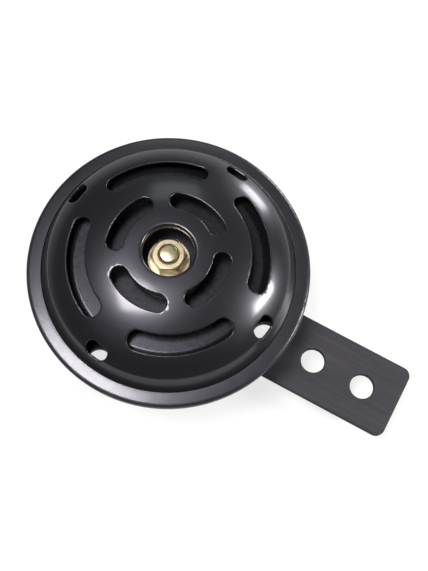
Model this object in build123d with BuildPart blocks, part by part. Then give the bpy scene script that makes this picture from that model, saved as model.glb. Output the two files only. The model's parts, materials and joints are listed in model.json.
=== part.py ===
from build123d import *
import os
from math import asin, cos, degrees, radians, sin

# Electric disc horn on a flat mounting strip, in millimetres.
# +Z points out of the mouth, to the front. The strip runs along X and its rear face is Z = 0.
# The origin is midway between the strip's two free holes, where it is bolted down.

# ---------------------------------------------------------------- mounting strip
strip_thickness = 2.5
strip_width = 25.5
strip_corner_radius = 3.0
strip_end_length = 13.0
strip_edge_chamfer = 0.3
hole_pitch = 18.5
hole_count = 5
strip_hole_radius = 4.1

# ---------------------------------------------------------------- rolled rim and clamped stack
rim_radius = 46.0
lip_width = 4.8
lip_bevel_width = 1.4
lip_bevel_drop = 0.3
rim_bend_radius = 0.7
housing_sheet = 1.0
cover_sheet = 0.8
gasket_thickness = 0.4
diaphragm_thickness = 0.3
stack_clearance = 0.6

# ---------------------------------------------------------------- rear housing
pot_radius = 20.5
pot_draft = 0.5
pot_depth = 12.1
pan_width = 10.5
pan_depth = 5.0
pot_floor_bend_radius = 1.7
pan_bend_radius = 0.9

# ---------------------------------------------------------------- front cover, to the middle of its sheet
wall_foot_gap = 0.5
wall_run = 2.65
crease_height = 5.9
shoulder_width = 6.3
dome_height = 15.5
dome_arc_radius = 54.0
mouth_radius = 8.45
mouth_turn_depth = 2.0
mouth_bend_radius = 0.5
crease_bend_radius = 0.9
foot_bend_radius = 0.7

slot_count = 4
slot_twist_angle = 37.0
outer_slot_inset = 2.75
outer_slot_width = 5.9
outer_slot_span_angle = 55.0
inner_slot_radius = 16.9
inner_slot_width = 5.6
inner_slot_span_angle = 52.0

drain_slot_inset = 1.15
drain_slot_width = 4.0
drain_slot_span_angle = 5.6
seat_hole_count = 2
seat_hole_inset = 0.5
seat_hole_margin_width = 2.4
seat_hole_twist_angle = 1.3

# ---------------------------------------------------------------- moving stack on the diaphragm
diaphragm_rise_height = 1.0
diaphragm_cone_width = 4.5
diaphragm_cone_gap = 3.5
diaphragm_bend_radius = 2.5
front_stud_radius = 3.0
armature_radius = 8.0
armature_flange_radius = 11.0
armature_flange_thickness = 1.5
spacer_radius = 5.0
spacer_length = 5.8
disc_edge_gap = 5.55
disc_sheet = 1.2
disc_hub_radius = 11.0
disc_step_width = 2.0
disc_step_height = 0.8
disc_rim_width = 2.6
disc_rim_height = 1.0
disc_bend_radius = 1.6
front_washer_radius = 6.75
front_washer_thickness = 1.2
front_nut_flats = 10.0
front_nut_height = 5.0
front_nut_turn_angle = 28.5
front_stud_projection_length = 0.9
stud_chamfer = 0.6

# ---------------------------------------------------------------- magnet
core_radius = 8.2
core_height = 6.5
armature_chamfer = 0.4
air_gap = 0.8
bobbin_gap = 4.0
bobbin_height = 12.0
bobbin_wall_thickness = 1.0
bobbin_clearance = 0.2
winding_inset = 0.9
lead_radius = 0.4
lead_bend_radius = 1.0
lead_rise_gap = 2.7
lead_exit_depth = 2.5
lead_landing_length = 1.2

# ---------------------------------------------------------------- rear fixing
rear_stud_radius = 4.0
rear_washer_radius = 8.0
rear_washer_thickness = 1.6
spring_washer_radius = 7.2
spring_washer_thickness = 2.0
spring_washer_gap = 1.0
rear_nut_flats = 13.0
rear_nut_height = 6.5
rear_stud_projection_length = 1.5

# ---------------------------------------------------------------- contact breaker and terminals
terminal_angle = 16.2
arm_thickness = 0.4
arm_tip_radius = 2.0
arm_foot_width = 7.0
arm_hole_clearance = 0.2
pusher_inset = 1.0
pusher_radius = 1.2
pusher_gap = 0.3
contact_reach_length = 9.0
contact_radius = 1.4
contact_gap = 0.02
plate_thickness = 0.8
plate_width = 7.0
plate_margin_width = 0.6
tab_width = 5.2
pad_boss_radius = 2.2
pad_boss_gap = 0.1
flex_clearance = 0.12
stack_pad_length = 6.6
stack_pad_width = 8.0
stack_pad_thickness = 1.0
mid_pad_thickness = 0.8
top_pad_thickness = 0.5
adjuster_offset_angle = 24.0
adjuster_radius = 2.0
adjuster_projection_length = 4.0
adjuster_chamfer = 0.3
lock_nut_flats = 7.0
lock_nut_height = 2.2
driver_slot_width = 0.9
driver_slot_depth = 1.1
rivet_radius = 1.5
rivet_head_radius = 2.3
rivet_head_height = 0.8
terminal_plate_thickness = 1.5
terminal_plate_half_angle = 25.0
terminal_plate_width = 7.5
terminal_boss_radius = 2.4
divider_height = 4.0
divider_thickness = 1.2
divider_inset = 0.8
blade_width = 6.3
blade_thickness = 0.8
blade_offset = 3.1
blade_foot_length = 5.8
blade_reach_length = 10.8
blade_bend_radius = 0.8
blade_hole_radius = 0.9
blade_hole_height = 3.2
blade_tip_chamfer = 1.0
lug_thickness = 0.5
lug_width = 5.8
lug_tail_length = 5.0
lug_tail_width = 2.4

thread_clearance = 0.05
hole_clearance = 0.1

# ---------------------------------------------------------------- heights worked out from the sizes above
seat_z = strip_thickness
floor_z = seat_z + housing_sheet
pan_z = seat_z + pot_depth
pan_floor_z = pan_z + housing_sheet
flange_z = pan_z + pan_depth
rear_gasket_z = flange_z + housing_sheet
diaphragm_z = rear_gasket_z + gasket_thickness
front_gasket_z = diaphragm_z + diaphragm_thickness
cover_z = front_gasket_z + gasket_thickness
cover_flange_z = cover_z + cover_sheet
rim_z = cover_flange_z + housing_sheet

armature_top_z = diaphragm_z + diaphragm_rise_height
armature_flange_z = armature_top_z - armature_flange_thickness
spacer_z = armature_top_z + diaphragm_thickness
disc_z = spacer_z + spacer_length
front_washer_z = disc_z + disc_sheet
front_nut_z = front_washer_z + front_washer_thickness
front_stud_end_z = front_nut_z + front_nut_height + front_stud_projection_length
core_top_z = floor_z + core_height
armature_bottom_z = core_top_z + air_gap

rear_nut_z = -rear_washer_thickness - spring_washer_thickness - rear_nut_height
rear_stud_end_z = rear_nut_z - rear_stud_projection_length

arm_z = pan_floor_z + stack_pad_thickness + flex_clearance
mid_pad_z = arm_z + arm_thickness + flex_clearance
plate_z = mid_pad_z + mid_pad_thickness
top_pad_z = plate_z + plate_thickness
contact_height = (plate_z - arm_z - arm_thickness - contact_gap) / 2
pusher_height = armature_flange_z - pusher_gap - arm_z - arm_thickness
stack_height = top_pad_z + top_pad_thickness - pan_floor_z
lug_z = pan_floor_z + stack_pad_thickness
terminal_plate_z = pan_z - terminal_plate_thickness
foot_z = terminal_plate_z - blade_thickness

# ---------------------------------------------------------------- radii and places worked out
mount_reach = hole_pitch * (hole_count - 1.5)
horn_x = -mount_reach
lip_radius = rim_radius - lip_width
stack_radius = rim_radius - housing_sheet - stack_clearance
pan_radius = pot_radius + pan_width
gasket_inner_radius = pan_radius + housing_sheet
gasket_width = stack_radius - gasket_inner_radius
seat_circle_radius = gasket_inner_radius + gasket_width / 2 - seat_hole_inset
seat_hole_radius = gasket_width / 2 - seat_hole_margin_width
wall_foot_radius = lip_radius - wall_foot_gap
crease_radius = wall_foot_radius - wall_run
shoulder_radius = crease_radius - shoulder_width
outer_slot_radius = shoulder_radius - outer_slot_inset
drain_slot_radius = crease_radius - drain_slot_inset
disc_radius = crease_radius - disc_edge_gap
diaphragm_cone_radius = gasket_inner_radius - diaphragm_cone_gap
diaphragm_flat_radius = diaphragm_cone_radius - diaphragm_cone_width
bobbin_radius = pot_radius - housing_sheet - bobbin_gap
bobbin_bore_radius = core_radius + bobbin_clearance
bobbin_tube_radius = bobbin_bore_radius + bobbin_wall_thickness
winding_radius = bobbin_radius - winding_inset
lead_rise_radius = bobbin_radius + lead_rise_gap
lead_exit_z = floor_z + bobbin_height - bobbin_wall_thickness - lead_exit_depth

# the rivets stand midway between the pot's wall and the middle of the pan's wall
terminal_circle_radius = pot_radius + (pan_width - housing_sheet / 2) / 2
pusher_circle_radius = armature_flange_radius - pusher_inset
contact_circle_radius = terminal_circle_radius - contact_reach_length
blade_circle_radius = terminal_circle_radius + blade_offset
blade_foot_radius = blade_circle_radius - blade_foot_length
terminal_plate_inner_radius = terminal_circle_radius - terminal_plate_width / 2
terminal_plate_outer_radius = terminal_circle_radius + terminal_plate_width / 2
dome_angle = degrees(asin((shoulder_radius - mouth_radius) / dome_arc_radius))
breaker_angle = 180 - terminal_angle
coil_angle = 180 + terminal_angle
adjuster_angle = breaker_angle - adjuster_offset_angle
slot_pitch_angle = 360 / slot_count
seat_hole_start_angle = slot_twist_angle + 2.5 * slot_pitch_angle + seat_hole_twist_angle

horn_axis = Axis((horn_x, 0, 0), (0, 0, 1))

# upright section plane through the axis: x is the radius and y is the height
profile = Plane(origin=(horn_x, 0, 0), x_dir=(1, 0, 0), z_dir=(0, -1, 0))


def level(z):
    """Horizontal sketch plane at height z, centred on the horn's axis."""
    return Plane(origin=(horn_x, 0, z))


def spoke(angle, z):
    """Horizontal sketch plane whose x runs outwards from the horn's axis at the angle."""
    return Plane(origin=(horn_x, 0, z), x_dir=(cos(radians(angle)), sin(radians(angle)), 0))


def spoke_section(angle):
    """Upright sketch plane through the horn's axis: x is the radius and y is the height."""
    turned = radians(angle)
    return Plane(
        origin=(horn_x, 0, 0),
        x_dir=(cos(turned), sin(turned), 0),
        z_dir=(sin(turned), -cos(turned), 0),
    )


def blade_plane(angle):
    """Upright sketch plane in a blade terminal's middle, with y as the height."""
    turned = radians(angle)
    return Plane(
        origin=(horn_x + blade_circle_radius * cos(turned), blade_circle_radius * sin(turned), 0),
        x_dir=(sin(turned), -cos(turned), 0),
        z_dir=(-cos(turned), -sin(turned), 0),
    )


def seat_holes(mode):
    """The holes through the clamped stack, one beneath each of the lower drain slots."""
    for turn in range(seat_hole_count):
        angle = seat_hole_start_angle + turn * slot_pitch_angle
        with PolarLocations(seat_circle_radius, 1, start_angle=angle):
            Circle(seat_hole_radius, mode=mode)


def round_piece(z, radius, height, bore_radius):
    """Plain ring or washer standing on height z."""
    with BuildPart() as ring:
        with BuildSketch(level(z)):
            Circle(radius)
            Circle(bore_radius, mode=Mode.SUBTRACT)
        extrude(amount=height)
    return ring


def hex_nut(z, flats, height, bore_radius, turn_angle=0):
    """Hexagon nut standing on height z, with its corners turned off at both ends."""
    corner_radius = flats / 2 / cos(radians(30))
    corner_drop = (corner_radius - flats / 2) * 0.6
    face_radius = flats / 2 - corner_drop / 2
    with BuildPart() as nut:
        with BuildSketch(level(z)):
            RegularPolygon(radius=flats / 2, side_count=6, major_radius=False, rotation=turn_angle)
            Circle(bore_radius, mode=Mode.SUBTRACT)
        extrude(amount=height)
        with BuildSketch(profile):
            with BuildLine():
                Polyline(
                    (0, z),
                    (face_radius, z),
                    (corner_radius, z + corner_drop),
                    (corner_radius, z + height - corner_drop),
                    (face_radius, z + height),
                    (0, z + height),
                    close=True,
                )
            make_face()
        revolve(axis=horn_axis, mode=Mode.INTERSECT)
    return nut


os.makedirs("parts", exist_ok=True)

# ---------------------------------------------------------------- rear housing
# One pressing: pot, pan and flange, with the edge rolled forward over the cover's flange.
# Its section is drawn as the line along the middle of the sheet.
half_housing = housing_sheet / 2
with BuildPart() as rear_housing:
    with BuildSketch(profile):
        with BuildLine():
            FilletPolyline(
                (rear_stud_radius + hole_clearance, seat_z + half_housing),
                (pot_radius - pot_draft - half_housing, seat_z + half_housing),
                (pot_radius - half_housing, pan_z + half_housing),
                (pan_radius - half_housing, pan_z + half_housing),
                (pan_radius - half_housing, flange_z + half_housing),
                (rim_radius - half_housing, flange_z + half_housing),
                (rim_radius - half_housing, rim_z - lip_bevel_drop - half_housing),
                (rim_radius - lip_bevel_width, rim_z - half_housing),
                (lip_radius, rim_z - half_housing),
                radius=(
                    pot_floor_bend_radius,
                    pan_bend_radius,
                    pan_bend_radius,
                    pan_bend_radius,
                    rim_bend_radius,
                    rim_bend_radius,
                    rim_bend_radius,
                ),
            )
        trace(line_width=housing_sheet)
    revolve(axis=horn_axis)
    with BuildSketch(level(flange_z)):
        seat_holes(Mode.ADD)
    extrude(amount=housing_sheet, mode=Mode.SUBTRACT)
    for angle, hole_radius in (
        (breaker_angle, terminal_boss_radius + hole_clearance),
        (coil_angle, terminal_boss_radius + hole_clearance),
        (adjuster_angle, adjuster_radius + thread_clearance),
    ):
        with BuildSketch(spoke(angle, pan_z)):
            with Locations((terminal_circle_radius, 0)):
                Circle(hole_radius)
        extrude(amount=housing_sheet, mode=Mode.SUBTRACT)
rear_housing.part.label = "rear_housing"
export_step(rear_housing.part, "parts/rear_housing.step")

# ---------------------------------------------------------------- front cover
# Domed pressing: flange, steep wall, crease, shoulder, dome, and a mouth with its edge turned in.
# Its slots follow circles about the axis. The inner ring and the short drain slots, which run
# over the crease, are staggered against the outer ring.
slots = []
for turn in range(slot_count):
    for radius, width, span, stagger in (
        (outer_slot_radius, outer_slot_width, outer_slot_span_angle, 0),
        (inner_slot_radius, inner_slot_width, inner_slot_span_angle, 0.5),
        (drain_slot_radius, drain_slot_width, drain_slot_span_angle, 0.5),
    ):
        start = slot_twist_angle + (turn + stagger) * slot_pitch_angle - span / 2
        slots.append((CenterArc((0, 0), radius, start, span), width))

with BuildPart() as front_cover:
    with BuildSketch(profile):
        with BuildLine() as cover_line:
            mouth_wall = Line(
                (mouth_radius, rim_z + dome_height - mouth_turn_depth),
                (mouth_radius, rim_z + dome_height),
            )
            dome = JernArc(mouth_wall @ 1, (1, 0), dome_arc_radius, -dome_angle)
            crease = (crease_radius, rim_z + crease_height)
            shoulder = TangentArc(dome @ 1, crease, tangent=dome % 1)
            wall_foot = (wall_foot_radius, cover_z + cover_sheet / 2)
            wall = Line(crease, wall_foot)
            Line(wall_foot, (stack_radius, cover_z + cover_sheet / 2))
            for corner, bend in (
                (mouth_wall @ 1, mouth_bend_radius),
                (crease, crease_bend_radius),
                (wall_foot, foot_bend_radius),
            ):
                fillet(cover_line.vertices().sort_by_distance(corner)[0], bend)
        trace(line_width=cover_sheet)
    revolve(axis=horn_axis)
    with BuildSketch(level(rim_z)):
        for arc, width in slots:
            SlotArc(arc, width)
    extrude(amount=dome_height + cover_sheet, mode=Mode.SUBTRACT)
front_cover.part.label = "front_cover"
export_step(front_cover.part, "parts/front_cover.step")

# ---------------------------------------------------------------- gaskets and diaphragm
gaskets = {}
for name, base in (("rear_gasket", rear_gasket_z), ("front_gasket", front_gasket_z)):
    with BuildPart() as gasket:
        with BuildSketch(level(base)):
            Circle(stack_radius)
            Circle(gasket_inner_radius, mode=Mode.SUBTRACT)
            seat_holes(Mode.SUBTRACT)
        extrude(amount=gasket_thickness)
    gasket.part.label = name
    export_step(gasket.part, f"parts/{name}.step")
    gaskets[name] = gasket

# The diaphragm is flat where it is clamped, then dished forward to a flat centre.
half_diaphragm = diaphragm_thickness / 2
with BuildPart() as diaphragm:
    with BuildSketch(profile):
        with BuildLine():
            FilletPolyline(
                (front_stud_radius + hole_clearance, armature_top_z + half_diaphragm),
                (diaphragm_flat_radius, armature_top_z + half_diaphragm),
                (diaphragm_cone_radius, diaphragm_z + half_diaphragm),
                (stack_radius, diaphragm_z + half_diaphragm),
                radius=diaphragm_bend_radius,
            )
        trace(line_width=diaphragm_thickness)
    revolve(axis=horn_axis)
    with BuildSketch(level(diaphragm_z)):
        seat_holes(Mode.ADD)
    extrude(amount=diaphragm_thickness, mode=Mode.SUBTRACT)
diaphragm.part.label = "diaphragm"
export_step(diaphragm.part, "parts/diaphragm.step")

# ---------------------------------------------------------------- moving stack
# The armature is turned in one with the front stud, which clamps everything in front of it.
with BuildPart() as armature:
    with BuildSketch(level(armature_bottom_z)):
        Circle(armature_radius)
    extrude(amount=armature_flange_z - armature_bottom_z)
    chamfer(armature.edges().sort_by(Axis.Z)[0], armature_chamfer)
    with BuildSketch(level(armature_flange_z)):
        Circle(armature_flange_radius)
    extrude(amount=armature_flange_thickness)
    with BuildSketch(level(armature_top_z)):
        Circle(front_stud_radius)
    extrude(amount=front_stud_end_z - armature_top_z)
    chamfer(armature.edges().sort_by(Axis.Z)[-1], stud_chamfer)
armature.part.label = "armature"
export_step(armature.part, "parts/armature.step")

disc_spacer = round_piece(spacer_z, spacer_radius, spacer_length, front_stud_radius + hole_clearance)
disc_spacer.part.label = "disc_spacer"
export_step(disc_spacer.part, "parts/disc_spacer.step")

# The tone disc is stiff: a flat hub, one pressed step, a flat ring and a rim bent back.
half_disc = disc_sheet / 2
with BuildPart() as tone_disc:
    with BuildSketch(profile):
        with BuildLine():
            FilletPolyline(
                (front_stud_radius + hole_clearance, disc_z + half_disc),
                (disc_hub_radius, disc_z + half_disc),
                (disc_hub_radius + disc_step_width, disc_z + disc_step_height + half_disc),
                (disc_radius - disc_rim_width, disc_z + disc_step_height + half_disc),
                (disc_radius, disc_z + disc_step_height - disc_rim_height + half_disc),
                radius=disc_bend_radius,
            )
        trace(line_width=disc_sheet)
    revolve(axis=horn_axis)
tone_disc.part.label = "tone_disc"
export_step(tone_disc.part, "parts/tone_disc.step")

front_washer = round_piece(
    front_washer_z,
    front_washer_radius,
    front_washer_thickness,
    front_stud_radius + hole_clearance,
)
front_washer.part.label = "front_washer"
export_step(front_washer.part, "parts/front_washer.step")

front_nut = hex_nut(
    front_nut_z,
    front_nut_flats,
    front_nut_height,
    front_stud_radius + thread_clearance,
    front_nut_turn_angle,
)
front_nut.part.label = "front_nut"
export_step(front_nut.part, "parts/front_nut.step")

# ---------------------------------------------------------------- magnet
# The pole core stands on the pot's floor, and its threaded shank holds the strip behind it.
with BuildPart() as pole_core:
    with BuildSketch(level(floor_z)):
        Circle(core_radius)
    extrude(amount=core_height)
    chamfer(pole_core.edges().sort_by(Axis.Z)[-1], armature_chamfer)
    with BuildSketch(level(rear_stud_end_z)):
        Circle(rear_stud_radius)
    extrude(amount=floor_z - rear_stud_end_z)
    chamfer(pole_core.edges().sort_by(Axis.Z)[0], stud_chamfer)
pole_core.part.label = "pole_core"
export_step(pole_core.part, "parts/pole_core.step")

with BuildPart() as coil_bobbin:
    for base in (floor_z, floor_z + bobbin_height - bobbin_wall_thickness):
        with BuildSketch(level(base)):
            Circle(bobbin_radius)
        extrude(amount=bobbin_wall_thickness)
    with BuildSketch(level(floor_z)):
        Circle(bobbin_tube_radius)
    extrude(amount=bobbin_height)
    with BuildSketch(level(floor_z)):
        Circle(bobbin_bore_radius)
    extrude(amount=bobbin_height, mode=Mode.SUBTRACT)
coil_bobbin.part.label = "coil_bobbin"
export_step(coil_bobbin.part, "parts/coil_bobbin.step")

coil_winding = round_piece(
    floor_z + bobbin_wall_thickness,
    winding_radius,
    bobbin_height - 2 * bobbin_wall_thickness,
    bobbin_tube_radius,
)
coil_winding.part.label = "coil_winding"
export_step(coil_winding.part, "parts/coil_winding.step")

# ---------------------------------------------------------------- contact breaker
# A leaf arm and a stiff contact plate share one rivet, with insulating pads between them.
# The armature's shoulder presses the arm's pusher and so parts the two contacts.
with BuildPart() as breaker_arm:
    with BuildSketch(spoke(breaker_angle, arm_z)):
        with Locations((pusher_circle_radius, 0)):
            Circle(arm_tip_radius)
        with Locations(((pusher_circle_radius + terminal_circle_radius) / 2, 0)):
            Rectangle(terminal_circle_radius - pusher_circle_radius, arm_tip_radius * 2)
        with Locations((terminal_circle_radius, 0)):
            Rectangle(stack_pad_length, arm_foot_width)
            Circle(rivet_radius + arm_hole_clearance, mode=Mode.SUBTRACT)
    extrude(amount=arm_thickness)
breaker_arm.part.label = "breaker_arm"
export_step(breaker_arm.part, "parts/breaker_arm.step")

breaker_buttons = {}
for name, base, circle, radius, height in (
    ("breaker_pusher", arm_z + arm_thickness, pusher_circle_radius, pusher_radius, pusher_height),
    ("moving_contact", arm_z + arm_thickness, contact_circle_radius, contact_radius, contact_height),
    ("fixed_contact", plate_z - contact_height, contact_circle_radius, contact_radius, contact_height),
):
    with BuildPart() as button:
        with BuildSketch(spoke(breaker_angle, base)):
            with Locations((circle, 0)):
                Circle(radius)
        extrude(amount=height)
    button.part.label = name
    export_step(button.part, f"parts/{name}.step")
    breaker_buttons[name] = button

# The contact plate's side tab reaches over the adjusting screw's tip.
tab_x = terminal_circle_radius * cos(radians(adjuster_offset_angle))
tab_y = -terminal_circle_radius * sin(radians(adjuster_offset_angle))
with BuildPart() as contact_plate:
    with BuildSketch(spoke(breaker_angle, plate_z)):
        with Locations((contact_circle_radius, 0)):
            Circle(contact_radius + plate_margin_width)
        with Locations(((contact_circle_radius + terminal_circle_radius) / 2, 0)):
            Rectangle(contact_reach_length, (contact_radius + plate_margin_width) * 2)
        with Locations((terminal_circle_radius, 0)):
            Rectangle(stack_pad_length, plate_width)
        with Locations((tab_x, tab_y / 2)):
            Rectangle(tab_width, -tab_y)
        with Locations((tab_x, tab_y)):
            Circle(tab_width / 2)
        with Locations((terminal_circle_radius, 0)):
            Circle(pad_boss_radius + hole_clearance, mode=Mode.SUBTRACT)
    extrude(amount=plate_thickness)
contact_plate.part.label = "contact_plate"
export_step(contact_plate.part, "parts/contact_plate.step")

# The rear and middle pads are plain; the front pad's boss lines the contact plate's rivet hole.
pad_bore_radius = rivet_radius + thread_clearance
breaker_pads = {}
for name, base, thickness in (
    ("breaker_rear_pad", pan_floor_z, stack_pad_thickness),
    ("breaker_middle_pad", mid_pad_z, mid_pad_thickness),
    ("breaker_front_pad", top_pad_z, top_pad_thickness),
):
    with BuildPart() as pad:
        with BuildSketch(spoke(breaker_angle, base)):
            with Locations((terminal_circle_radius, 0)):
                Rectangle(stack_pad_length, stack_pad_width)
        extrude(amount=thickness)
        if base == top_pad_z:
            with BuildSketch(spoke(breaker_angle, plate_z + pad_boss_gap)):
                with Locations((terminal_circle_radius, 0)):
                    Circle(pad_boss_radius)
            extrude(amount=plate_thickness - pad_boss_gap)
        with BuildSketch(spoke(breaker_angle, plate_z)):
            with Locations((terminal_circle_radius, 0)):
                Circle(pad_bore_radius)
        extrude(amount=stack_height, both=True, mode=Mode.SUBTRACT)
    pad.part.label = name
    export_step(pad.part, f"parts/{name}.step")
    breaker_pads[name] = pad

# ---------------------------------------------------------------- adjusting screw and its lock nut
lock_nut_z = pan_z - lock_nut_height
adjuster_end_z = lock_nut_z - adjuster_projection_length
with BuildPart() as adjusting_screw:
    with BuildSketch(spoke(adjuster_angle, adjuster_end_z)):
        with Locations((terminal_circle_radius, 0)):
            Circle(adjuster_radius)
    extrude(amount=plate_z - adjuster_end_z)
    chamfer(adjusting_screw.edges().group_by(Axis.Z)[0], adjuster_chamfer)
    with BuildSketch(spoke(adjuster_angle, adjuster_end_z)):
        with Locations((terminal_circle_radius, 0)):
            Rectangle(adjuster_radius * 3, driver_slot_width)
    extrude(amount=driver_slot_depth, mode=Mode.SUBTRACT)
adjusting_screw.part.label = "adjusting_screw"
export_step(adjusting_screw.part, "parts/adjusting_screw.step")

with BuildPart() as adjuster_lock_nut:
    with BuildSketch(spoke(adjuster_angle, lock_nut_z)):
        with Locations((terminal_circle_radius, 0)):
            RegularPolygon(radius=lock_nut_flats / 2, side_count=6, major_radius=False)
            Circle(adjuster_radius + thread_clearance, mode=Mode.SUBTRACT)
    extrude(amount=lock_nut_height)
adjuster_lock_nut.part.label = "adjuster_lock_nut"
export_step(adjuster_lock_nut.part, "parts/adjuster_lock_nut.step")

# ---------------------------------------------------------------- terminals
# A moulded plate insulates both terminals from the pan, and its bosses line the rivet holes.
plate_middle_radius = (terminal_plate_inner_radius + terminal_plate_outer_radius) / 2
plate_band = terminal_plate_outer_radius - terminal_plate_inner_radius
with BuildPart() as terminal_plate:
    with BuildSketch(level(terminal_plate_z)):
        with BuildLine():
            inner_edge = CenterArc(
                (0, 0),
                terminal_plate_inner_radius,
                180 - terminal_plate_half_angle,
                2 * terminal_plate_half_angle,
            )
            outer_edge = CenterArc(
                (0, 0),
                terminal_plate_outer_radius,
                180 - terminal_plate_half_angle,
                2 * terminal_plate_half_angle,
            )
            Line(inner_edge @ 0, outer_edge @ 0)
            Line(inner_edge @ 1, outer_edge @ 1)
        make_face()
    extrude(amount=terminal_plate_thickness)
    with BuildSketch(spoke(180, terminal_plate_z - divider_height)):
        with Locations((plate_middle_radius, 0)):
            Rectangle(plate_band - 2 * divider_inset, divider_thickness)
    extrude(amount=divider_height)
    for angle in (breaker_angle, coil_angle):
        with BuildSketch(spoke(angle, pan_z)):
            with Locations((terminal_circle_radius, 0)):
                Circle(terminal_boss_radius)
        extrude(amount=housing_sheet)
        with BuildSketch(spoke(angle, terminal_plate_z)):
            with Locations((terminal_circle_radius, 0)):
                Circle(pad_bore_radius)
        extrude(amount=terminal_plate_thickness + housing_sheet, mode=Mode.SUBTRACT)
terminal_plate.part.label = "terminal_plate"
export_step(terminal_plate.part, "parts/terminal_plate.step")

# Each blade terminal is one strip: a foot riveted under the plate, and a blade bent to the rear.
blade_end_z = terminal_plate_z - blade_reach_length
blade_terminals = {}
for name, angle in (("breaker_terminal", breaker_angle), ("coil_terminal", coil_angle)):
    with BuildPart() as blade_terminal:
        with BuildSketch(spoke_section(angle)):
            with BuildLine():
                FilletPolyline(
                    (blade_foot_radius, foot_z + blade_thickness / 2),
                    (blade_circle_radius, foot_z + blade_thickness / 2),
                    (blade_circle_radius, blade_end_z),
                    radius=blade_bend_radius,
                )
            trace(line_width=blade_thickness)
        extrude(amount=blade_width / 2, both=True)
        tip_edges = blade_terminal.faces().sort_by(Axis.Z)[0].edges().sort_by(Edge.length)[:2]
        chamfer(tip_edges, blade_tip_chamfer)
        with BuildSketch(spoke(angle, foot_z)):
            with Locations((terminal_circle_radius, 0)):
                Circle(pad_bore_radius)
        extrude(amount=blade_thickness, mode=Mode.SUBTRACT)
        with BuildSketch(blade_plane(angle)):
            with Locations((0, blade_end_z + blade_hole_height)):
                Circle(blade_hole_radius)
        extrude(amount=blade_thickness, both=True, mode=Mode.SUBTRACT)
    blade_terminal.part.label = name
    export_step(blade_terminal.part, f"parts/{name}.step")
    blade_terminals[name] = blade_terminal

# The coil's live end is a ring lug on its own insulating pad.
with BuildPart() as lug_pad:
    with BuildSketch(spoke(coil_angle, pan_floor_z)):
        with Locations((terminal_circle_radius, 0)):
            Rectangle(stack_pad_length, stack_pad_width)
            Circle(pad_bore_radius, mode=Mode.SUBTRACT)
    extrude(amount=stack_pad_thickness)
lug_pad.part.label = "lug_pad"
export_step(lug_pad.part, "parts/lug_pad.step")

with BuildPart() as coil_lug:
    with BuildSketch(spoke(coil_angle, lug_z)):
        with Locations((terminal_circle_radius, 0)):
            Circle(lug_width / 2)
        with Locations((terminal_circle_radius - lug_tail_length / 2, 0)):
            Rectangle(lug_tail_length, lug_tail_width)
        with Locations((terminal_circle_radius, 0)):
            Circle(pad_bore_radius, mode=Mode.SUBTRACT)
    extrude(amount=lug_thickness)
coil_lug.part.label = "coil_lug"
export_step(coil_lug.part, "parts/coil_lug.step")

# Two rivets, one through the breaker's stack and one through the coil lug.
with BuildPart() as terminal_rivets:
    for angle, head_z in (
        (breaker_angle, top_pad_z + top_pad_thickness),
        (coil_angle, lug_z + lug_thickness),
    ):
        with BuildSketch(spoke(angle, foot_z)):
            with Locations((terminal_circle_radius, 0)):
                Circle(rivet_radius)
        extrude(amount=head_z - foot_z)
        for base in (foot_z - rivet_head_height, head_z):
            with BuildSketch(spoke(angle, base)):
                with Locations((terminal_circle_radius, 0)):
                    Circle(rivet_head_radius)
            extrude(amount=rivet_head_height)
terminal_rivets.part.label = "terminal_rivets"
export_step(terminal_rivets.part, "parts/terminal_rivets.step")

# Two wires leave the winding: one ends on the lug, the other on the contact plate's tab.
with BuildPart() as coil_leads:
    for angle, end_radius, end_z in (
        (coil_angle, terminal_circle_radius - lug_tail_length + lead_landing_length, lug_z + lug_thickness),
        (adjuster_angle, terminal_circle_radius - tab_width / 2 + lead_landing_length, top_pad_z),
    ):
        with BuildSketch(spoke_section(angle)):
            with BuildLine():
                FilletPolyline(
                    (winding_radius, lead_exit_z),
                    (lead_rise_radius, lead_exit_z),
                    (lead_rise_radius, end_z + lead_radius),
                    (end_radius, end_z + lead_radius),
                    radius=lead_bend_radius,
                )
            trace(line_width=lead_radius * 2)
        extrude(amount=lead_radius, both=True)
coil_leads.part.label = "coil_leads"
export_step(coil_leads.part, "parts/coil_leads.step")

# ---------------------------------------------------------------- mounting strip
# A flat bar with a row of equal holes: the horn hangs on the first that clears its end.
strip_length = (hole_count - 1) * hole_pitch + 2 * strip_end_length
with BuildPart() as mounting_strip:
    with BuildSketch(Plane.XY):
        with Locations((horn_x + (hole_count - 1) * hole_pitch / 2, 0)):
            RectangleRounded(strip_length, strip_width, strip_corner_radius)
            with GridLocations(hole_pitch, 0, hole_count, 1):
                Circle(strip_hole_radius, mode=Mode.SUBTRACT)
    extrude(amount=strip_thickness)
    chamfer(mounting_strip.edges().group_by(Axis.Z)[-1], strip_edge_chamfer)
mounting_strip.part.label = "mounting_strip"
export_step(mounting_strip.part, "parts/mounting_strip.step")

# ---------------------------------------------------------------- rear fixing
rear_washer = round_piece(
    -rear_washer_thickness,
    rear_washer_radius,
    rear_washer_thickness,
    rear_stud_radius + hole_clearance,
)
rear_washer.part.label = "rear_washer"
export_step(rear_washer.part, "parts/rear_washer.step")

with BuildPart() as spring_washer:
    with BuildSketch(level(rear_nut_z + rear_nut_height)):
        Circle(spring_washer_radius)
        Circle(rear_stud_radius + hole_clearance, mode=Mode.SUBTRACT)
        with Locations((0, -spring_washer_radius)):
            Rectangle(spring_washer_gap, spring_washer_radius * 2, rotation=-20, mode=Mode.SUBTRACT)
    extrude(amount=spring_washer_thickness)
spring_washer.part.label = "spring_washer"
export_step(spring_washer.part, "parts/spring_washer.step")

rear_nut = hex_nut(
    rear_nut_z,
    rear_nut_flats,
    rear_nut_height,
    rear_stud_radius + thread_clearance,
)
rear_nut.part.label = "rear_nut"
export_step(rear_nut.part, "parts/rear_nut.step")
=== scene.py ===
import json
from math import asin, atan2, cos, degrees, hypot, pi, radians, sin, sqrt

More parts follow.
